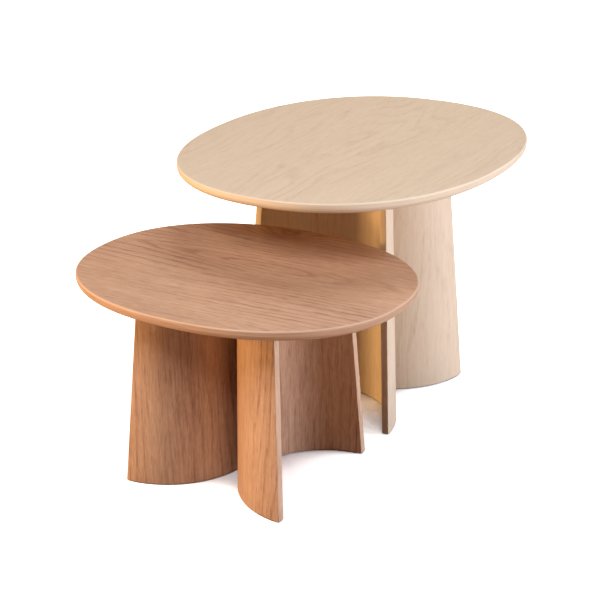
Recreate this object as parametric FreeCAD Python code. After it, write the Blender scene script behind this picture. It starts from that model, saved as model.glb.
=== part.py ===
"""Two oval nesting tables, each on a pair of back-to-back bent-wood shells.

Units are millimetres.  +Z is up.  Both tables stand on z = 0.  The small table
stands in front of the large one, towards -Y, with part of its top under the
large top.  The origin is on the floor, at the centre of the pair's box.

Each table is first built about its own upright axis, with its top's long axis
along local X.  The two shells of a base stand back to back across that axis
and open outwards, along local -X and +X.  A shell is half of a leaning cone:
wide at the floor, narrow under the top, with an upright line at its back.
"""
import FreeCAD, Part

import math
import os
from dataclasses import dataclass

V = FreeCAD.Vector
UP = V(0, 0, 1)


@dataclass
class Table:
    """The sizes of one table, each of which can be set by itself."""
    name: str
    shell_names: tuple       # the shells towards local -X and local +X
    turn: float              # degrees from the row's X to the local X
    height: float            # floor to the top's upper face
    top_length: float        # long axis of the oval
    top_width: float         # short axis of the oval
    top_thickness: float
    foot_radius: float       # outside radius of a shell at the floor
    head_radius: float       # outside radius of a shell under the top
    wall: float              # wall of a shell, along its radius
    back_gap: float          # gap between the two shells' backs


SMALL = Table("small", ("left_shell", "right_shell"), turn=0.0,
              height=333.0, top_length=540.0, top_width=443.0,
              top_thickness=17.0, foot_radius=140.0, head_radius=120.5,
              wall=13.5, back_gap=10.0)
LARGE = Table("large", ("front_shell", "back_shell"), turn=90.0,
              height=450.0, top_length=688.0, top_width=538.0,
              top_thickness=17.0, foot_radius=146.0, head_radius=118.0,
              wall=12.0, back_gap=12.0)

# Room between the small top's edge and the ends of the large front shell.
NEST_CLEARANCE = 7.0

# The tops are super-ellipses, |x/a|^n + |y/b|^n = 1, a little fuller than ovals.
OVAL_POWER = 2.2
OVAL_SPANS = 32           # spans of the curve through the outline
EDGE_ROUND_ABOVE = 2.5    # round between the upper face and the side
EDGE_ROUND_BELOW = 11.0   # round that rolls the side under

# Each shell goes this far round, in degrees: nearly a half circle.
SHELL_SWEEP = 176.0

# Felt pads keep the shells off the floor.
PAD_THICKNESS = 1.5
PAD_LENGTH = 32.0         # along the shell's wall
PAD_MARGIN = 1.5          # from each face of the wall to the pad
PAD_ANGLES = (-76.0, 0.0, 76.0)     # round the shell, from its back

# A half-moon cleat fits inside the head of each shell, held by glue and dowels.
CLEAT_THICKNESS = 18.0
CLEAT_REACH = 64.0        # from the shell's inside at its back, outwards
CLEAT_FIT = 0.1           # glue line between cleat and shell
CLEAT_DOWEL_ANGLES = (-45.0, 0.0, 45.0)
CLEAT_DOWEL_RADIUS = 3.0
CLEAT_DOWEL_IN_WALL = 7.0
CLEAT_DOWEL_IN_CLEAT = 14.0

# Screws go up through a washer and the cleat into inserts in the top.
SCREW_RADIUS = 3.0
SCREW_SPREAD = 96.0       # between the two screws of one cleat
SCREW_SETBACK = 22.0      # from the cleat's straight edge to its screws
SCREW_IN_TOP = 10.0       # how far a screw reaches into the top
SCREW_CLEARANCE = 0.4     # round the screw, in cleat and washer
THREAD_CLEARANCE = 0.05   # round the screw, in its insert
HEAD_RADIUS = 5.5
HEAD_HEIGHT = 3.2
HEAD_ROUND = 1.2
SOCKET_RADIUS = 2.3       # hexagon socket, to its corners
SOCKET_DEPTH = 1.8
WASHER_RADIUS = 8.0
WASHER_THICKNESS = 1.2
INSERT_RADIUS = 4.6
INSERT_LENGTH = 11.0

# The spine is a narrow batten that joins the two backs, with dowels through it.
SPINE_WIDTH = 26.0
SPINE_LIFT = 5.0          # from the shells' feet up to the spine
SPINE_FIT = 0.1           # glue line between spine and shells
DOWEL_RADIUS = 4.0
DOWEL_IN_WALL = 7.0       # how far a spine dowel reaches into each shell
DOWEL_SHARES = (0.15, 0.5, 0.85)    # heights, as shares of the shell's head height
HOLE_CLEARANCE = 0.05     # round a dowel or an insert in its hole


# ------------------------------------------------------------ measures

def head_height(table):
    """Height of the top's underside, where the shells end."""
    return table.height - table.top_thickness


def outer_radius(table, z):
    """Outside radius of a shell at a height."""
    share = z / head_height(table)
    return table.foot_radius + (table.head_radius - table.foot_radius) * share


def shell_reach(table, z):
    """From the table's axis out to a shell's arc centre at a height."""
    return table.back_gap / 2 + outer_radius(table, z)


def on_arc(table, side, z, radius, degrees):
    """A point round a shell: 0 degrees is its back, side is -1 or +1."""
    angle = math.radians(degrees)
    x = shell_reach(table, z) - radius * math.cos(angle)
    return V(side * x, radius * math.sin(angle), z)


def cleat_edge(table):
    """From the table's axis out to the straight edge of a cleat."""
    return table.back_gap / 2 + table.wall + CLEAT_REACH


def screw_places(table):
    """Where the base is screwed to the top, under the top's lower face."""
    x = cleat_edge(table) - SCREW_SETBACK
    z = head_height(table)
    return [V(side * x, row * SCREW_SPREAD / 2, z) for side in (-1, 1) for row in (-1, 1)]


def cone(table, side, inset, z_low, z_high):
    """The leaning cone of a shell as a full solid, drawn in by an inset."""
    rings = []
    for z in (z_low, z_high):
        centre = V(side * shell_reach(table, z), 0, z)
        rings.append(Part.Wire(Part.makeCircle(outer_radius(table, z) - inset, centre, UP)))
    return Part.makeLoft(rings, True, True)


# --------------------------------------------------------------- the top

def oval_face(table):
    """The flat outline of a top, on the height of its underside."""
    points = []
    for step in range(OVAL_SPANS):
        angle = 2 * math.pi * step / OVAL_SPANS
        cosine = math.cos(angle)
        sine = math.sin(angle)
        share = (abs(cosine) ** OVAL_POWER + abs(sine) ** OVAL_POWER) ** (-1 / OVAL_POWER)
        x = table.top_length / 2 * share * cosine
        y = table.top_width / 2 * share * sine
        points.append(V(x, y, head_height(table)))
    curve = Part.BSplineCurve()
    curve.interpolate(Points=points, PeriodicFlag=True)
    return Part.Face(Part.Wire(curve.toShape()))


def round_rim(solid, z, radius):
    """Rounds the long edge that runs round a top at a height."""
    rim = [edge for edge in solid.Edges
           if abs(edge.BoundBox.ZMin - z) < 1e-3 and abs(edge.BoundBox.ZMax - z) < 1e-3]
    return solid.makeFillet(radius, rim)


def tabletop(table):
    """The top, with a blind hole for each insert."""
    top = oval_face(table).extrude(UP * table.top_thickness)
    top = round_rim(top, table.height, EDGE_ROUND_ABOVE)
    top = round_rim(top, head_height(table), EDGE_ROUND_BELOW)
    holes = [Part.makeCylinder(INSERT_RADIUS + HOLE_CLEARANCE, INSERT_LENGTH, place)
             for place in screw_places(table)]
    return top.cut(holes)


def threaded_inserts(table):
    """A tube with an inside thread, drawn plain, in each hole of the top."""
    solids = []
    for place in screw_places(table):
        outside = Part.makeCylinder(INSERT_RADIUS, INSERT_LENGTH, place)
        bore = Part.makeCylinder(SCREW_RADIUS + THREAD_CLEARANCE, INSERT_LENGTH, place)
        solids.append(outside.cut(bore))
    return solids


# ------------------------------------------------------------ the shells

def shell_section(table, side, z):
    """The C-shaped outline of a shell at a height."""
    outer = outer_radius(table, z)
    inner = outer - table.wall
    end = SHELL_SWEEP / 2
    edges = []
    for radius in (outer, inner):
        points = [on_arc(table, side, z, radius, angle) for angle in (-end, 0, end)]
        edges.append(Part.Arc(*points).toShape())
    for angle in (-end, end):
        edges.append(Part.LineSegment(on_arc(table, side, z, outer, angle),
                                      on_arc(table, side, z, inner, angle)).toShape())
    return Part.Wire(Part.__sortEdges__(edges))


def shell(table, side):
    """One bent shell, from its pads up to the top, with its dowel holes."""
    sections = [shell_section(table, side, z) for z in (PAD_THICKNESS, head_height(table))]
    solid = Part.makeLoft(sections, True, True)
    holes = spine_dowels(table, HOLE_CLEARANCE)
    holes += cleat_dowels_on(table, side, HOLE_CLEARANCE)
    return solid.cut(holes)


def pads(table):
    """Felt pads under the feet of both shells."""
    outer = outer_radius(table, PAD_THICKNESS) - PAD_MARGIN
    inner = outer_radius(table, PAD_THICKNESS) - table.wall + PAD_MARGIN
    half = math.degrees(PAD_LENGTH / (outer + inner))
    solids = []
    for side in (-1, 1):
        for middle in PAD_ANGLES:
            edges = []
            ends = (middle - half, middle + half)
            for radius in (outer, inner):
                points = [on_arc(table, side, PAD_THICKNESS, radius, angle)
                          for angle in (ends[0], middle, ends[1])]
                edges.append(Part.Arc(*points).toShape())
            for angle in ends:
                edges.append(Part.LineSegment(
                    on_arc(table, side, PAD_THICKNESS, outer, angle),
                    on_arc(table, side, PAD_THICKNESS, inner, angle)).toShape())
            face = Part.Face(Part.Wire(Part.__sortEdges__(edges)))
            solids.append(face.extrude(UP * -PAD_THICKNESS))
    return solids


# ------------------------------------------------------------- the spine

def spine_dowels(table, clearance):
    """Dowels through the spine into both backs, or their holes."""
    length = table.back_gap + 2 * DOWEL_IN_WALL
    solids = []
    for share in DOWEL_SHARES:
        start = V(-length / 2, 0, head_height(table) * share)
        solids.append(Part.makeCylinder(DOWEL_RADIUS + clearance, length, start, V(1, 0, 0)))
    return solids


def spine(table):
    """The batten between the backs, hollowed on both sides to fit them."""
    foot = PAD_THICKNESS + SPINE_LIFT
    head = head_height(table)
    thickness = table.back_gap + SPINE_WIDTH / 2
    block = Part.makeBox(thickness, SPINE_WIDTH, head - foot,
                         V(-thickness / 2, -SPINE_WIDTH / 2, foot))
    hollows = [cone(table, side, -SPINE_FIT, 0, head) for side in (-1, 1)]
    return block.cut(hollows + spine_dowels(table, HOLE_CLEARANCE))


# ------------------------------------------------------------ the cleats

def cleat_dowels_on(table, side, clearance):
    """Dowels from one shell's wall into its cleat, or their holes."""
    z = head_height(table) - CLEAT_THICKNESS / 2
    inner = outer_radius(table, z) - table.wall
    solids = []
    for angle in CLEAT_DOWEL_ANGLES:
        start = on_arc(table, side, z, inner - CLEAT_DOWEL_IN_CLEAT, angle)
        end = on_arc(table, side, z, inner + CLEAT_DOWEL_IN_WALL, angle)
        solids.append(Part.makeCylinder(CLEAT_DOWEL_RADIUS + clearance,
                                        (end - start).Length, start, end - start))
    return solids


def cleat(table, side):
    """The half-moon in a shell's head, drilled for its screws and dowels."""
    head = head_height(table)
    low = head - CLEAT_THICKNESS
    disc = cone(table, side, table.wall + CLEAT_FIT, low, head)
    edge = cleat_edge(table)
    depth = table.head_radius * 2
    keep = Part.makeBox(edge, depth, CLEAT_THICKNESS,
                        V(0 if side > 0 else -edge, -depth / 2, low))
    holes = [Part.makeCylinder(SCREW_RADIUS + SCREW_CLEARANCE, CLEAT_THICKNESS,
                               place - UP * CLEAT_THICKNESS)
             for place in screw_places(table)]
    return disc.common(keep).cut(holes + cleat_dowels_on(table, side, HOLE_CLEARANCE))


def washers(table):
    """A washer under each cleat hole."""
    solids = []
    for place in screw_places(table):
        low = place - UP * (CLEAT_THICKNESS + WASHER_THICKNESS)
        disc = Part.makeCylinder(WASHER_RADIUS, WASHER_THICKNESS, low)
        hole = Part.makeCylinder(SCREW_RADIUS + SCREW_CLEARANCE, WASHER_THICKNESS, low)
        solids.append(disc.cut(hole))
    return solids


def screw(place):
    """A round-headed socket screw that ends inside the top over a place."""
    under_head = place - UP * (CLEAT_THICKNESS + WASHER_THICKNESS)
    foot = under_head - UP * HEAD_HEIGHT
    shank = Part.makeCylinder(SCREW_RADIUS, CLEAT_THICKNESS + WASHER_THICKNESS + SCREW_IN_TOP,
                              under_head)
    head = Part.makeCylinder(HEAD_RADIUS, HEAD_HEIGHT, foot)
    lower_edge = [edge for edge in head.Edges if edge.BoundBox.ZMax < foot.z + 1e-3]
    head = head.makeFillet(HEAD_ROUND, lower_edge)
    corners = []
    for corner in range(7):
        angle = math.radians(60 * corner)
        corners.append(foot + V(math.cos(angle), math.sin(angle), 0) * SOCKET_RADIUS)
    socket = Part.Face(Part.makePolygon(corners)).extrude(UP * SOCKET_DEPTH)
    return head.fuse(shank).removeSplitter().cut(socket)


# ---------------------------------------------------------- the two tables

def pieces(table):
    """Every node of one table, about its own axis: name to solids."""
    nodes = {"tabletop": [tabletop(table)], "spine": [spine(table)],
             "spine_dowels": spine_dowels(table, 0),
             "threaded_inserts": threaded_inserts(table),
             "top_screws": [screw(place) for place in screw_places(table)],
             "screw_washers": washers(table), "felt_pads": pads(table)}
    nodes["cleat_dowels"] = []
    for side, shell_name in zip((-1, 1), table.shell_names):
        nodes[shell_name] = [shell(table, side)]
        nodes[shell_name.replace("shell", "cleat")] = [cleat(table, side)]
        nodes["cleat_dowels"] += cleat_dowels_on(table, side, 0)
    return nodes


def axes_along_y():
    """Y of the small and the large table's axis, with the pair's box centred."""
    apart = SMALL.top_width / 2 + NEST_CLEARANCE + shell_reach(LARGE, SMALL.height)
    half_box = (SMALL.top_width / 2 + apart + LARGE.top_length / 2) / 2
    small_y = SMALL.top_width / 2 - half_box
    return small_y, small_y + apart


def write_table(table, centre_y):
    """Places each node of a table in the row's frame and writes its STEP file."""
    for name, solids in pieces(table).items():
        for solid in solids:
            solid.rotate(V(0, 0, 0), UP, table.turn)
            solid.translate(V(0, centre_y, 0))
        shape = solids[0] if len(solids) == 1 else Part.makeCompound(solids)
        shape.exportStep(f"parts/{table.name}_{name}.step")


os.makedirs("parts", exist_ok=True)
for one_table, one_y in zip((SMALL, LARGE), axes_along_y()):
    write_table(one_table, one_y)
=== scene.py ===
"""Two oval oak nesting tables on bent-wood shells, for a studio picture.

Everything is in metres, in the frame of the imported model.  The tops and the
shells are made here as smooth meshes with softened edges; they stand for the
CAD solids of the same size and place.  The other CAD nodes stay and only get
their materials.  The floor, the backdrop and the lamps are the stage, and no
part of the object.
"""
import math

import bmesh
import bpy
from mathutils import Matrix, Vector


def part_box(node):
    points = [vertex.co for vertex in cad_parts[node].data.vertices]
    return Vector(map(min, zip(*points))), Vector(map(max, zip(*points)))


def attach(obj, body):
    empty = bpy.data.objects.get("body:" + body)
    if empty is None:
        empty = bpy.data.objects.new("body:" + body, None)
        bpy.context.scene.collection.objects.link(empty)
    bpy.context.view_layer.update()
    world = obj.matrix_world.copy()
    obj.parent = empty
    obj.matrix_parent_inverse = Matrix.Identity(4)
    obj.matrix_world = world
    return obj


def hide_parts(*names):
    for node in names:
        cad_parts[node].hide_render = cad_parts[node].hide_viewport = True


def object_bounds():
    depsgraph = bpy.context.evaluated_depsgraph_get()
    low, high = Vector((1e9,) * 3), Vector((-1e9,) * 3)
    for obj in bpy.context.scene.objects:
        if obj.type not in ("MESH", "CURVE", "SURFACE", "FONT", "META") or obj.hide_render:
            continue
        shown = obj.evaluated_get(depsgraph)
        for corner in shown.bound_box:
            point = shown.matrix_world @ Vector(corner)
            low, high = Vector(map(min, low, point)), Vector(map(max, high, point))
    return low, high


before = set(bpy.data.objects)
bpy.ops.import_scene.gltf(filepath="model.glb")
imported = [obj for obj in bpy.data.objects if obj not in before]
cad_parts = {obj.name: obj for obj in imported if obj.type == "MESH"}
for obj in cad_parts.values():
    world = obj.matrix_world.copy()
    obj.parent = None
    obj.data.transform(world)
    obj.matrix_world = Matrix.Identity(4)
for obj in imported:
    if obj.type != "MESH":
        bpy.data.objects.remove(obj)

CAD_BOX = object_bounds()
UP = Vector((0, 0, 1))

# ------------------------------------------------------------ the tables
# along: the long axis of a top; its shells stand back to back across it.
# wall: the wall of a shell.  timber: where a piece's figure starts, one for
# the top and one for each shell, in metres across, along and into the grain.
TABLES = {
    "small": {"along": Vector((1, 0, 0)), "wall": 0.0135,
              "shells": {"small_left_shell": -1, "small_right_shell": 1},
              "timber": {"top": (0.0, 0.0, 0.0), "small_left_shell": (1.7, 0.6, 0.3),
                         "small_right_shell": (3.1, 1.9, 0.7)}},
    "large": {"along": Vector((0, 1, 0)), "wall": 0.012,
              "shells": {"large_front_shell": -1, "large_back_shell": 1},
              "timber": {"top": (5.3, 0.4, 0.0), "large_front_shell": (7.2, 1.1, 0.5),
                         "large_back_shell": (9.4, 0.2, 0.9)}},
}
OVAL_POWER = 2.2          # the tops are super-ellipses of this power
OVAL_POINTS = 288         # points round a top
FLAT_SHARES = (0.92, 0.7, 0.45, 0.2)    # rings on a flat face, as shares of the half width
FLAT_STRIP = 0.0015       # one more ring lies this far from the rounded edge
FLAT_RINGS = len(FLAT_SHARES) + 1
EDGE_TIMBER = Vector((2.3, 0.7, 0.4))    # from a top's figure to that of its edge
EDGE_ROUND_ABOVE = 0.0025
EDGE_ROUND_BELOW = 0.011
STEPS_ABOVE = 5           # steps round each of those two
STEPS_BELOW = 10
SHELL_SWEEP = math.radians(176)
SHELL_EDGE = 0.0012       # softened edge of a shell
SHELL_EDGE_STEPS = 3      # steps round each upright edge
SHELL_FOOT_INSET = 0.7    # inset of the foot, as a share of the edge: corners keep a radius
SHELL_FOOT_STEPS = (45, 68, 90)    # degrees round the edge of the foot
SHELL_POINTS = 96         # points round a shell
SHELL_LEVELS = 12         # levels up a shell
LEVEL_TOLERANCE = 1e-4    # a CAD point this near to a level lies on it


def across(table):
    """The short axis of a top, a quarter turn from its long axis."""
    return UP.cross(table["along"])


def table_centre(name):
    """The floor point under the middle of a table's top."""
    low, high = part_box(name + "_tabletop")
    middle = (low + high) / 2
    return Vector((middle.x, middle.y, 0))


def build_mesh(name, points, faces, timber, edge_highlight, lipping=None):
    """A smooth mesh with its timber coordinates: across, along and into the grain.

    timber has one place for each point, and the list after it says how strongly a painted
    highlight, a paler colour, lies on each point's edge.
    lipping has places for the corners of the faces that it names, where another
    length of wood meets the first.
    """
    mesh = bpy.data.meshes.new(name)
    mesh.from_pydata(points, [], faces)
    shape = bmesh.new()
    shape.from_mesh(mesh)
    bmesh.ops.recalc_face_normals(shape, faces=shape.faces)
    shape.to_mesh(mesh)
    shape.free()
    places = []
    for polygon in mesh.polygons:
        own = (lipping or {}).get(frozenset(polygon.vertices), timber)
        places += [value for vertex in polygon.vertices for value in own[vertex]]
    attribute = mesh.attributes.new("timber", "FLOAT_VECTOR", "CORNER")
    attribute.data.foreach_set("vector", places)
    mesh.attributes.new("edge_highlight", "FLOAT", "POINT").data.foreach_set("value", edge_highlight)
    mesh.shade_smooth()
    piece = bpy.data.objects.new(name, mesh)
    bpy.context.scene.collection.objects.link(piece)
    return piece


def bridge(faces, ring_count, ring_size):
    """Adds the side faces between closed rings of points, one after another."""
    for ring in range(ring_count - 1):
        for k in range(ring_size):
            following = (k + 1) % ring_size
            faces.append((ring * ring_size + k, ring * ring_size + following,
                          (ring + 1) * ring_size + following, (ring + 1) * ring_size + k))


# --------------------------------------------------------------- the tops

def oval_profile(thickness, half_width):
    """Pairs of inset and drop, from the middle of the upper face to that below."""
    profile = [(half_width * share, 0) for share in FLAT_SHARES]
    profile.append((EDGE_ROUND_ABOVE + FLAT_STRIP, 0))
    for step in range(STEPS_ABOVE + 1):
        angle = math.radians(90 * step / STEPS_ABOVE)
        profile.append((EDGE_ROUND_ABOVE * (1 - math.sin(angle)),
                        EDGE_ROUND_ABOVE * (1 - math.cos(angle))))
    for step in range(STEPS_BELOW + 1):
        angle = math.radians(90 * step / STEPS_BELOW)
        profile.append((EDGE_ROUND_BELOW * (1 - math.cos(angle)),
                        thickness - EDGE_ROUND_BELOW * (1 - math.sin(angle))))
    profile.append((EDGE_ROUND_BELOW + FLAT_STRIP, thickness))
    profile += [(half_width * share, thickness) for share in reversed(FLAT_SHARES)]
    return profile


def edge_timber(profile, points, start):
    """Timber places for the faces of the rounded edge, whose grain runs round the top."""
    widths, lengths = [0.0], [0.0]
    for (inset, drop), (next_inset, next_drop) in zip(profile, profile[1:]):
        widths.append(widths[-1] + math.hypot(next_inset - inset, next_drop - drop))
    for k in range(OVAL_POINTS):
        step = points[(k + 1) % OVAL_POINTS] - points[k]
        lengths.append(lengths[-1] + step.length)
    lipping = {}
    for ring in range(FLAT_RINGS, len(profile) - FLAT_RINGS):
        for k in range(OVAL_POINTS):
            following = (k + 1) % OVAL_POINTS
            own = {}
            for row in (ring, ring + 1):
                for column, length in ((k, lengths[k]), (following, lengths[k + 1])):
                    place = Vector((widths[row], length, 0.0))
                    own[row * OVAL_POINTS + column] = start + EDGE_TIMBER + place
            lipping[frozenset(own)] = own
    return lipping


def make_top(name):
    """The oval top of one table, as rings of points from face to face."""
    table = TABLES[name]
    low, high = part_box(name + "_tabletop")
    centre = table_centre(name)
    size = high - low
    half_length = size.dot(table["along"]) / 2
    half_width = abs(size.dot(across(table))) / 2
    start = Vector(table["timber"]["top"])
    points, timber, faces = [], [], []
    profile = oval_profile(size.z, half_width)
    for inset, drop in profile:
        for k in range(OVAL_POINTS):
            angle = 2 * math.pi * k / OVAL_POINTS + math.pi / 2
            cosine, sine = math.cos(angle), math.sin(angle)
            share = (abs(cosine) ** OVAL_POWER + abs(sine) ** OVAL_POWER) ** (-1 / OVAL_POWER)
            x = (half_length - inset) * share * cosine
            y = (half_width - inset) * share * sine
            points.append(centre + table["along"] * x + across(table) * y
                          + UP * (high.z - drop))
            timber.append(start + Vector((y, x, -drop)))
    bridge(faces, len(profile), OVAL_POINTS)
    lipping = edge_timber(profile, points, start)
    faces.append(tuple(range(OVAL_POINTS)))
    last = (len(profile) - 1) * OVAL_POINTS
    faces.append(tuple(range(last, last + OVAL_POINTS)))
    # The upper rounded edge of the top gets a painted highlight.
    edge_highlight = [1.0 if FLAT_RINGS < ring < FLAT_RINGS + STEPS_ABOVE else 0.0
            for ring in range(len(profile)) for k in range(OVAL_POINTS)]
    top = build_mesh(name + "_oak_top", points, faces, timber, edge_highlight, lipping)
    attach(top, name + "_table")
    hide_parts(name + "_tabletop")
    return top


# ------------------------------------------------------------- the shells

def level_reach(node, table, at_head):
    """Outside radius of a shell at its foot or its head, from the CAD solid."""
    low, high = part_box(node)
    level = high.z if at_head else low.z
    sideways = across(table)
    centre = (low + high).dot(sideways) / 2
    reach = max(abs(vertex.co.dot(sideways) - centre)
                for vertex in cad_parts[node].data.vertices
                if abs(vertex.co.z - level) < LEVEL_TOLERANCE)
    return reach / math.sin(SHELL_SWEEP / 2)


def section(half, wall, inset):
    """A shell's section unrolled: pairs of arc length and depth, drawn in by an inset.

    The outer side comes first, then one end, the inner side and the other end.
    """
    edge = SHELL_EDGE
    radius = edge - inset
    side = []
    for k in range(SHELL_POINTS + 1):
        side.append((half - edge) * (2 * k / SHELL_POINTS - 1))
    corner = [math.radians(90 * step / SHELL_EDGE_STEPS)
              for step in range(1, SHELL_EDGE_STEPS + 1)]
    end = []
    for angle in corner:
        end.append((half - edge + radius * math.sin(angle), edge - radius * math.cos(angle)))
    for angle in reversed(corner):
        end.append((half - edge + radius * math.sin(angle),
                    wall - edge + radius * math.cos(angle)))
    outline = [(s, inset) for s in side] + end
    outline += [(s, wall - inset) for s in reversed(side)]
    outline += [(-s, depth) for s, depth in reversed(end)]
    return outline


def shell_levels(foot, head):
    """Pairs of height and inset: a softened foot, then straight up to the head."""
    levels = [(foot, SHELL_EDGE * SHELL_FOOT_INSET)]
    for degrees in SHELL_FOOT_STEPS:
        angle = math.radians(degrees)
        levels.append((foot + SHELL_EDGE * (1 - math.cos(angle)),
                       SHELL_EDGE * (1 - math.sin(angle))))
    for step in range(1, SHELL_LEVELS + 1):
        share = step / SHELL_LEVELS
        levels.append((foot + SHELL_EDGE + (head - foot - SHELL_EDGE) * share, 0))
    return levels


def make_shell(name, node, side):
    """One bent shell: a half cone with a wall, open towards its side."""
    table = TABLES[name]
    wall = table["wall"]
    low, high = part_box(node)
    centre = table_centre(name)
    foot_radius = level_reach(node, table, at_head=False)
    head_radius = level_reach(node, table, at_head=True)
    gap = min(abs((corner - centre).dot(table["along"])) for corner in (low, high))
    start = Vector(table["timber"][node])
    points, timber, faces = [], [], []
    levels = shell_levels(low.z, high.z)
    for z, inset in levels:
        radius = foot_radius + (head_radius - foot_radius) * (z - low.z) / (high.z - low.z)
        outline = section(radius * SHELL_SWEEP / 2, wall, inset)
        for s, depth in outline:
            angle = s / radius
            reach = gap + radius - (radius - depth) * math.cos(angle)
            points.append(centre + table["along"] * side * reach
                          + across(table) * (radius - depth) * math.sin(angle) + UP * z)
            timber.append(start + Vector((s, z, depth)))
    size = len(outline)
    bridge(faces, len(levels), size)
    count = SHELL_POINTS + 1
    ends = (size - 2 * count) // 2
    for first in (0, (len(levels) - 1) * size):
        for k in range(count - 1):
            opposite = first + 2 * count + ends - 1 - k
            faces.append((first + k, opposite, opposite - 1, first + k + 1))
        faces.append(tuple(range(first + count + ends, first + count - 2, -1)))
        faces.append((first,) + tuple(range(first + size - 1, first + 2 * count + ends - 2, -1)))
    # The upright ends of the shell, with their rounded edges, get a painted highlight.
    rounded = [0.0] * count + [1.0] * ends + [0.0] * count + [1.0] * ends
    shell = build_mesh(node + "_oak", points, faces, timber, rounded * len(levels))
    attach(shell, name + "_table")
    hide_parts(node)
    return shell


# ---------------------------------------------------------- material tools

class Nodes:
    """A short way to write a material's nodes."""

    def __init__(self, name):
        self.material = bpy.data.materials.new(name)
        self.material.use_nodes = True
        self.tree = self.material.node_tree
        self.shader = self.tree.nodes["Principled BSDF"]

    def add(self, kind, **settings):
        """A node with its settings."""
        node = self.tree.nodes.new(kind)
        for key, value in settings.items():
            setattr(node, key, value)
        return node

    def put(self, socket, value):
        """Links a socket to another node's output, or sets its plain value."""
        if isinstance(value, bpy.types.NodeSocket):
            self.tree.links.new(value, socket)
        else:
            socket.default_value = value

    def math(self, operation, *values, clamp=False):
        """A Math node's result."""
        node = self.add("ShaderNodeMath", operation=operation, use_clamp=clamp)
        for socket, value in zip(node.inputs, values):
            self.put(socket, value)
        return node.outputs[0]

    def spread(self, value, low, high, to_low=0.0, to_high=1.0, smooth=False):
        """A Map Range node's result, clamped."""
        node = self.add("ShaderNodeMapRange",
                        interpolation_type="SMOOTHSTEP" if smooth else "LINEAR")
        for socket, given in zip(node.inputs, (value, low, high, to_low, to_high)):
            self.put(socket, given)
        return node.outputs[0]

    def stretched(self, vector, scale):
        """A vector times a scale along each axis."""
        node = self.add("ShaderNodeVectorMath", operation="MULTIPLY")
        self.put(node.inputs[0], vector)
        node.inputs[1].default_value = scale
        return node.outputs[0]

    def distance(self, vector, centre, scale):
        """How far a point is from a centre, in a stretched space."""
        away = self.add("ShaderNodeVectorMath", operation="SUBTRACT")
        self.put(away.inputs[0], vector)
        away.inputs[1].default_value = centre
        length = self.add("ShaderNodeVectorMath", operation="LENGTH")
        self.put(length.inputs[0], self.stretched(away.outputs[0], scale))
        return length.outputs["Value"]

    def noise(self, vector, scale, detail=2.0, roughness=0.5, distortion=0.0):
        """Noise in a stretched space, from about 0.2 to 0.8."""
        node = self.add("ShaderNodeTexNoise")
        self.put(node.inputs["Vector"], self.stretched(vector, scale))
        node.inputs["Scale"].default_value = 1.0
        node.inputs["Detail"].default_value = detail
        node.inputs["Roughness"].default_value = roughness
        node.inputs["Distortion"].default_value = distortion
        return node.outputs["Fac"]

    def ramp(self, value, stops):
        """A colour ramp with (position, colour) stops."""
        node = self.add("ShaderNodeValToRGB")
        elements = node.color_ramp.elements
        while len(elements) < len(stops):
            elements.new(0.5)
        for element, (position, colour) in zip(elements, stops):
            element.position = position
            element.color = (*colour, 1)
        self.put(node.inputs[0], value)
        return node.outputs[0]

    def mix(self, factor, first, second):
        """A colour mix."""
        node = self.add("ShaderNodeMix", data_type="RGBA")
        self.put(node.inputs[0], factor)
        for socket, value in ((node.inputs[6], first), (node.inputs[7], second)):
            if isinstance(value, tuple):
                socket.default_value = (*value, 1)
            else:
                self.put(socket, value)
        return node.outputs[2]

    def bump(self, height, strength, distance):
        """Sends a height to the shader's normal."""
        node = self.add("ShaderNodeBump")
        node.inputs["Strength"].default_value = strength
        node.inputs["Distance"].default_value = distance
        self.put(node.inputs["Height"], height)
        self.put(self.shader.inputs["Normal"], node.outputs[0])


# ----------------------------------------------------------------- the oak
# The scale of each layer of noise, per metre across, along and into the grain.
GRAIN = {"swell": (13, 2.6, 13), "waver": (70, 6, 70), "clearness": (9, 1.8, 9),
         "fine": (900, 70, 900), "fibre": (320, 20, 320), "streak": (150, 5.0, 150),
         "band": (34, 1.6, 34), "tone": (10, 1.2, 10), "pores": (620, 30, 620)}
RING_STRETCH = (1, 0.15, 0.3)    # the rings round the heart, drawn out along the grain
HEART_STRETCH = (14, 4, 1)       # the place round the heart where rings show clearly


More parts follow.
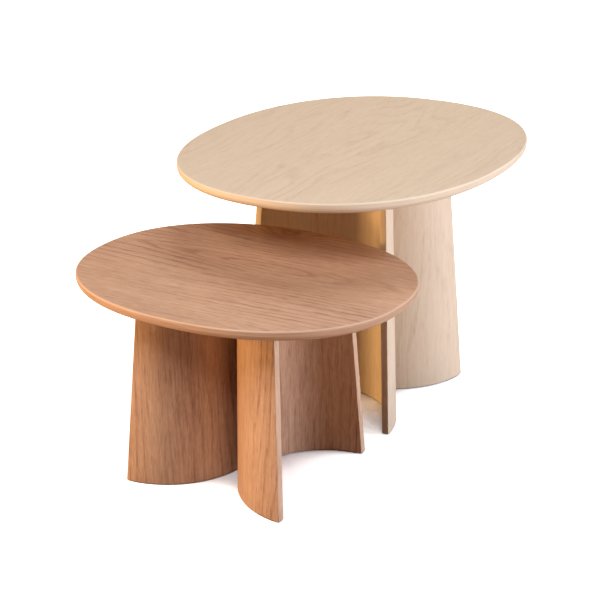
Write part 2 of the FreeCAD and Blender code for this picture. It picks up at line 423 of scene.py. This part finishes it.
def oak(name, light, middle, dark, pore, highlight_colour, figure):
    """Oiled oak: growth rings, fibres, pores and slow changes of tone.

    Its space is the timber attribute: across, along and into the grain.  figure
    says how strong each layer is, where the heart is, and what hills there are: the
    centre, reach, height and darkness of each.
    """
    n = Nodes(name)
    timber = n.add("ShaderNodeAttribute", attribute_name="timber").outputs["Vector"]
    # Growth rings are the level lines of a long, smooth swell in the timber.
    swell = n.noise(timber, GRAIN["swell"], detail=1.0, roughness=0.35)
    waver = n.noise(timber, GRAIN["waver"], detail=3, roughness=0.6)
    rings = n.math("MULTIPLY", swell, figure["rings"])
    rings = n.math("MULTIPLY_ADD", n.distance(timber, figure["heart"], RING_STRETCH),
                   figure["ring_rate"], rings)
    rings = n.math("MULTIPLY_ADD", waver, figure["waver"], rings)
    # A hill on that swell bends the rings round it and darkens the wood there.
    shade = 0.0
    for centre, reach, height, darkness in figure["hills"]:
        away = n.distance(timber, centre, tuple(1 / size for size in reach))
        hill = n.spread(away, 0.0, 1.0, 1.0, 0.0, smooth=True)
        rings = n.math("MULTIPLY_ADD", hill, height, rings)
        shade = n.math("MULTIPLY_ADD", hill, darkness, shade)
    ring = n.math("FRACT", rings)
    late = n.spread(ring, 0.0, 0.4, 1.0, 0.0, smooth=True)
    early = n.spread(ring, 0.85, 1.0, 0.0, 1.0, smooth=True)
    ring_dark = n.math("MAXIMUM", late, early)
    # Rings show more in some bands of the timber than in others.
    clearness = n.noise(timber, GRAIN["clearness"], detail=2)
    clearness = n.spread(clearness, 0.38, 0.62, 0.25, 1.0)
    near_heart = n.distance(timber, figure["heart"], HEART_STRETCH)
    clearness = n.math("MAXIMUM", clearness, n.spread(near_heart, 0.2, 1.0, 1.0, 0.0))
    ring_dark = n.math("MULTIPLY", ring_dark, clearness)
    # Fibres, streaks and slow tones all run along the grain.
    fine = n.noise(timber, GRAIN["fine"], detail=4, roughness=0.7)
    fibre = n.noise(timber, GRAIN["fibre"], detail=5, roughness=0.72, distortion=0.15)
    streak = n.noise(timber, GRAIN["streak"], detail=4, roughness=0.6, distortion=0.2)
    band = n.noise(timber, GRAIN["band"], detail=3, roughness=0.55, distortion=0.3)
    tone = n.noise(timber, GRAIN["tone"], detail=2)
    dash = n.noise(timber, GRAIN["pores"], detail=2, roughness=0.6)
    pores = n.spread(dash, 0.56, 0.66, 0.0, 1.0)
    pores = n.math("MULTIPLY", pores, n.spread(ring_dark, 0.0, 0.8, 0.5, 1.0))
    # All of them add up to one number, from pale to dark.
    depth = n.math("MULTIPLY_ADD", ring_dark, figure["ring_depth"], shade)
    for part, key in ((fine, "fine"), (fibre, "fibre"), (streak, "streak"),
                      (band, "band"), (tone, "tone")):
        centred = n.math("SUBTRACT", part, 0.5)
        depth = n.math("MULTIPLY_ADD", centred, figure[key], depth)
    depth = n.math("ADD", depth, figure["base"], clamp=True)
    colour = n.ramp(depth, ((0.0, light), (0.5, middle), (1.0, dark)))
    colour = n.mix(n.math("MULTIPLY", pores, figure["pores"]), colour, pore)
    # Edges get a painted highlight, a little paler, and are a little smoother.
    highlight_mask = n.add("ShaderNodeAttribute", attribute_name="edge_highlight").outputs["Fac"]
    highlight_mask = n.math("MULTIPLY", highlight_mask, n.spread(streak, 0.35, 0.6, 0.15, 0.5))
    colour = n.mix(highlight_mask, colour, highlight_colour)
    n.put(n.shader.inputs["Base Color"], colour)
    roughness = n.spread(depth, 0.1, 0.9, 0.42, 0.56)
    n.put(n.shader.inputs["Roughness"], n.math("MULTIPLY_ADD", highlight_mask, -0.1, roughness))
    n.shader.inputs["Specular IOR Level"].default_value = 0.4
    n.shader.inputs["Coat Weight"].default_value = 0.3
    n.shader.inputs["Coat Roughness"].default_value = 0.28
    height = n.math("MULTIPLY_ADD", fibre, 0.35, n.math("MULTIPLY", pores, -1.0))
    n.bump(height, 0.25, 0.0003)
    return n.material


# The last colour given for each oak is that of the painted highlight on its edges.
LARGE_OAK = oak("large_oak", light=(0.80, 0.645, 0.485), middle=(0.69, 0.535, 0.385),
                dark=(0.46, 0.32, 0.21), pore=(0.42, 0.285, 0.185), highlight_colour=(0.90, 0.75, 0.58),
                figure={"base": 0.36, "rings": 7, "ring_rate": 45, "waver": 0.6,
                        "ring_depth": 0.17, "fine": 0.55, "fibre": 0.75, "streak": 0.35,
                        "band": 0.3, "tone": 0.25, "pores": 0.4, "heart": (5.30, 0.36, 0),
                        "hills": []})
SMALL_OAK = oak("small_oak", light=(0.665, 0.417, 0.272), middle=(0.48, 0.268, 0.165),
                dark=(0.225, 0.090, 0.048), pore=(0.17, 0.066, 0.038), highlight_colour=(0.80, 0.56, 0.40),
                figure={"base": 0.32, "rings": 4, "ring_rate": 75, "waver": 0.8,
                        "ring_depth": 0.30, "fine": 0.85, "fibre": 1.15, "streak": 0.5,
                        "band": 0.45, "tone": 0.3, "pores": 0.6, "heart": (0.04, -0.01, 0),
                        "hills": [((0.185, -0.035, 0), (0.04, 0.08, 1), 3.0, 0.22),
                                  ((1.59, 0.78, 0.3), (0.05, 0.32, 1), 1.5, 0.3)]})


def object_place(n):
    """The place of a point in a CAD node, in metres."""
    return n.add("ShaderNodeTexCoord").outputs["Object"]


def normal_z(n):
    """How far a face looks up, from its own geometry."""
    parts = n.add("ShaderNodeSeparateXYZ")
    n.put(parts.inputs[0], n.add("ShaderNodeNewGeometry").outputs["Normal"])
    return parts.outputs[2]


def plain_oak(name, light, dark):
    """Oak on a CAD node whose grain stands upright."""
    n = Nodes(name)
    place = object_place(n)
    fibre = n.noise(place, (420, 420, 8), detail=5, roughness=0.65)
    tone = n.noise(place, (60, 60, 2), detail=3)
    colour = n.ramp(n.math("MULTIPLY_ADD", tone, 0.5, n.math("MULTIPLY", fibre, 0.5)),
                    ((0.3, light), (0.7, dark)))
    n.put(n.shader.inputs["Base Color"], colour)
    n.put(n.shader.inputs["Roughness"], n.spread(fibre, 0.2, 0.8, 0.5, 0.65))
    n.bump(fibre, 0.2, 0.0003)
    return n.material


PLY = 0.0015    # thickness of one layer of plywood


def plywood(name):
    """Birch plywood: thin layers that show on the edges, fine grain on the faces."""
    n = Nodes(name)
    place = object_place(n)
    parts = n.add("ShaderNodeSeparateXYZ")
    n.put(parts.inputs[0], place)
    layer = n.math("PINGPONG", parts.outputs[2], PLY)
    layer = n.spread(layer, 0.0005, 0.0010, 0.0, 1.0, smooth=True)
    upright = n.math("ABSOLUTE", normal_z(n))
    edge = n.spread(upright, 0.5, 0.7, 1.0, 0.0)
    grain = n.noise(place, (30, 600, 600), detail=4, roughness=0.6)
    face = n.ramp(grain, ((0.3, (0.70, 0.55, 0.38)), (0.7, (0.56, 0.41, 0.26))))
    colour = n.mix(n.math("MULTIPLY", layer, edge), face, (0.36, 0.24, 0.14))
    n.put(n.shader.inputs["Base Color"], colour)
    n.put(n.shader.inputs["Roughness"], n.spread(grain, 0.2, 0.8, 0.55, 0.7))
    n.bump(grain, 0.15, 0.0003)
    return n.material


def beech(name):
    """Turned beech dowels: pale and pinkish, with short dark flecks."""
    n = Nodes(name)
    place = object_place(n)
    fleck = n.noise(place, (900, 900, 300), detail=3)
    colour = n.ramp(fleck, ((0.35, (0.66, 0.46, 0.30)), (0.68, (0.42, 0.26, 0.15))))
    n.put(n.shader.inputs["Base Color"], colour)
    n.put(n.shader.inputs["Roughness"], n.spread(fleck, 0.2, 0.8, 0.5, 0.65))
    n.bump(fleck, 0.15, 0.0002)
    return n.material


def metal(name, light, dark, roughness):
    """Plated or turned metal with fine scratches and a little tarnish."""
    n = Nodes(name)
    place = object_place(n)
    scratch = n.noise(place, (2500, 300, 2500), detail=4, roughness=0.7)
    cloud = n.noise(place, (250, 250, 250), detail=3)
    n.put(n.shader.inputs["Base Color"], n.ramp(cloud, ((0.35, light), (0.7, dark))))
    n.put(n.shader.inputs["Roughness"],
          n.spread(scratch, 0.25, 0.75, roughness - 0.07, roughness + 0.12))
    n.shader.inputs["Metallic"].default_value = 1.0
    n.bump(scratch, 0.1, 0.0001)
    return n.material


def felt(name):
    """Dark pressed felt: matted fibres with a soft sheen."""
    n = Nodes(name)
    place = object_place(n)
    fibre = n.noise(place, (1800, 1800, 1800), detail=5, roughness=0.7, distortion=1.5)
    n.put(n.shader.inputs["Base Color"],
          n.ramp(fibre, ((0.3, (0.035, 0.030, 0.028)), (0.7, (0.11, 0.098, 0.09)))))
    n.put(n.shader.inputs["Roughness"], n.spread(fibre, 0.2, 0.8, 0.85, 1.0))
    n.shader.inputs["Sheen Weight"].default_value = 0.4
    n.bump(fibre, 0.5, 0.0004)
    return n.material


def dress(node, material):
    """Gives a CAD node's object one material."""
    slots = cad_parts[node].data.materials
    slots.clear()
    slots.append(material)


# ------------------------------------------------------------- the objects

for table_name, oak_material in (("small", SMALL_OAK), ("large", LARGE_OAK)):
    pieces = [make_top(table_name)]
    for shell_node, shell_side in TABLES[table_name]["shells"].items():
        pieces.append(make_shell(table_name, shell_node, shell_side))
    for made in pieces:
        made.data.materials.append(oak_material)

# The materials of the CAD nodes that stay, by the end of the node's name.
BARE = {"_cleat": plywood("birch_plywood"), "_dowels": beech("beech"),
        "_screws": metal("zinc_steel", (0.62, 0.63, 0.64), (0.50, 0.50, 0.50), 0.32),
        "_washers": metal("zinc_washer", (0.58, 0.59, 0.60), (0.46, 0.46, 0.46), 0.38),
        "_inserts": metal("brass", (0.72, 0.55, 0.26), (0.52, 0.38, 0.16), 0.35),
        "_pads": felt("felt"),
        "small_spine": plain_oak("small_spine_oak", (0.50, 0.29, 0.18), (0.26, 0.13, 0.07)),
        "large_spine": plain_oak("large_spine_oak", (0.68, 0.52, 0.38), (0.48, 0.34, 0.22))}
for cad_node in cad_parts:
    for ending, bare_material in BARE.items():
        if cad_node.endswith(ending):
            dress(cad_node, bare_material)


# ------------------------------------------------- camera, floor and lights

CAMERA_AZIMUTH = math.radians(29.84)    # from straight ahead, round to the right
CAMERA_PITCH = math.radians(21.27)      # looking down
CAMERA_DISTANCE = 2.713                 # from the point it looks at
CAMERA_RIGHT = -0.0361                  # that point, from the middle of the object
CAMERA_UP = -0.0178
CAMERA_LENS = 96.57                     # millimetres, as is the sensor
CAMERA_SENSOR = 36

LIGHT_DISTANCE = 2.4                 # from the middle of the object
WORLD_LIGHT = 0.05                   # strength of the light from all round
WORLD_COLOUR = (1, 0.8, 0.65)

FLOOR_REACH = 12.0                   # from the middle to each side
FLOOR_BOUNCE = (0.50, 0.37, 0.27)    # what the floor gives back to the tables
FLOOR_SEEN = 0.9                     # how the floor looks: what it gives back of the light
FLOOR_GLOW = 0.75                    # and what it has besides, so that shadows stay faint
GLOW_RISE = (0.5, 1.2)               # distances between which the glow rises to 1
NOOK_REACH = 0.25                    # how far round a place the floor looks for shelter
NOOK_OPEN = (0.31, 0.40)             # its openness, from no glow to all of it


def direction(azimuth, elevation):
    """From the object out to a place round it; azimuth 0 is straight ahead."""
    return Vector((math.sin(azimuth) * math.cos(elevation),
                   -math.cos(azimuth) * math.cos(elevation), math.sin(elevation)))


def add_camera():
    """A camera without roll, to the right of the tables and looking down at them."""
    back = direction(CAMERA_AZIMUTH, CAMERA_PITCH)
    right = Vector((math.cos(CAMERA_AZIMUTH), math.sin(CAMERA_AZIMUTH), 0))
    above = back.cross(right)
    low, high = CAD_BOX
    target = (low + high) / 2 + right * CAMERA_RIGHT + above * CAMERA_UP
    camera = bpy.data.objects.new("camera", bpy.data.cameras.new("camera"))
    camera.data.lens = CAMERA_LENS
    camera.data.sensor_width = CAMERA_SENSOR
    camera.data.clip_end = 50
    camera.location = target + back * CAMERA_DISTANCE
    camera.rotation_euler = back.to_track_quat("Z", "Y").to_euler()
    bpy.context.scene.collection.objects.link(camera)
    bpy.context.scene.camera = camera


def add_floor():
    """A wide floor that the camera sees nearly white, with a glow that keeps shadows faint."""
    mesh = bpy.data.meshes.new("floor")
    reach = FLOOR_REACH
    mesh.from_pydata([(-reach, -reach, 0), (reach, -reach, 0),
                      (reach, reach, 0), (-reach, reach, 0)], [], [(0, 1, 2, 3)])
    floor = bpy.data.objects.new("floor", mesh)
    bpy.context.scene.collection.objects.link(floor)
    n = Nodes("studio_floor")
    n.tree.nodes.remove(n.shader)
    bounce = n.add("ShaderNodeBsdfDiffuse")
    bounce.inputs["Color"].default_value = (*FLOOR_BOUNCE, 1)
    seen = n.add("ShaderNodeBsdfDiffuse")
    seen.inputs["Color"].default_value = (FLOOR_SEEN,) * 3 + (1,)
    # The glow is weak in the corners that the tables enclose, and full far away.
    nook = n.add("ShaderNodeAmbientOcclusion", samples=16)
    nook.inputs["Distance"].default_value = NOOK_REACH
    far = n.add("ShaderNodeVectorMath", operation="LENGTH")
    n.put(far.inputs[0], n.add("ShaderNodeNewGeometry").outputs["Position"])
    level = n.spread(far.outputs["Value"], *GLOW_RISE, FLOOR_GLOW, 1.0, smooth=True)
    open_floor = n.spread(nook.outputs["AO"], *NOOK_OPEN, 0.0, 1.0)
    glow = n.add("ShaderNodeEmission")
    n.put(glow.inputs["Strength"], n.math("MULTIPLY", level, open_floor))
    lit = n.add("ShaderNodeAddShader")
    n.put(lit.inputs[0], seen.outputs[0])
    n.put(lit.inputs[1], glow.outputs[0])
    both = n.add("ShaderNodeMixShader")
    n.put(both.inputs[0], n.add("ShaderNodeLightPath").outputs["Is Camera Ray"])
    n.put(both.inputs[1], bounce.outputs[0])
    n.put(both.inputs[2], lit.outputs[0])
    n.put(n.tree.nodes["Material Output"].inputs["Surface"], both.outputs[0])
    mesh.materials.append(n.material)


def add_light(name, azimuth, elevation, size, power, colour, glossy=True):
    """A square soft box that looks at the middle of the object; its angles are in degrees.

    Without glossy it shows in no reflection, so that it leaves no glare on the tops.
    """
    lamp = bpy.data.lights.new(name, "AREA")
    lamp.shape = "SQUARE"
    lamp.size = size
    lamp.energy = power
    lamp.color = colour
    light = bpy.data.objects.new(name, lamp)
    light.visible_glossy = glossy
    back = direction(math.radians(azimuth), math.radians(elevation))
    light.location = (CAD_BOX[0] + CAD_BOX[1]) / 2 + back * LIGHT_DISTANCE
    light.rotation_euler = back.to_track_quat("Z", "Y").to_euler()
    bpy.context.scene.collection.objects.link(light)


def add_world():
    """A backdrop that the camera sees white, and that lights the object only a little."""
    world = bpy.data.worlds.new("studio")
    world.use_nodes = True
    tree = world.node_tree
    dim = tree.nodes["Background"]
    dim.inputs["Color"].default_value = (*WORLD_COLOUR, 1)
    dim.inputs["Strength"].default_value = WORLD_LIGHT
    white = tree.nodes.new("ShaderNodeBackground")
    white.inputs["Color"].default_value = (1, 1, 1, 1)
    both = tree.nodes.new("ShaderNodeMixShader")
    path = tree.nodes.new("ShaderNodeLightPath")
    tree.links.new(path.outputs["Is Camera Ray"], both.inputs[0])
    tree.links.new(dim.outputs[0], both.inputs[1])
    tree.links.new(white.outputs[0], both.inputs[2])
    tree.links.new(both.outputs[0], tree.nodes["World Output"].inputs["Surface"])
    bpy.context.scene.world = world


add_camera()
add_floor()
add_world()
# The first four lamps were fitted to the photograph's shading, then merged
# and rounded.  The last one only lights the back.
add_light("warm_side", azimuth=-56, elevation=8, size=0.5, power=53, colour=(1.0, 0.65, 0.28),
          glossy=False)
add_light("cool_side", azimuth=108, elevation=7, size=0.6, power=66, colour=(0.76, 0.84, 1.0),
          glossy=False)
add_light("front", azimuth=5, elevation=46, size=0.9, power=41, colour=(0.92, 0.90, 0.92))
add_light("back", azimuth=-165, elevation=62, size=1.3, power=29, colour=(0.96, 0.94, 0.92))
add_light("back_fill", azimuth=190, elevation=16, size=1.0, power=22, colour=(1.0, 0.95, 0.9),
          glossy=False)
bpy.context.scene.view_settings.view_transform = "Standard"
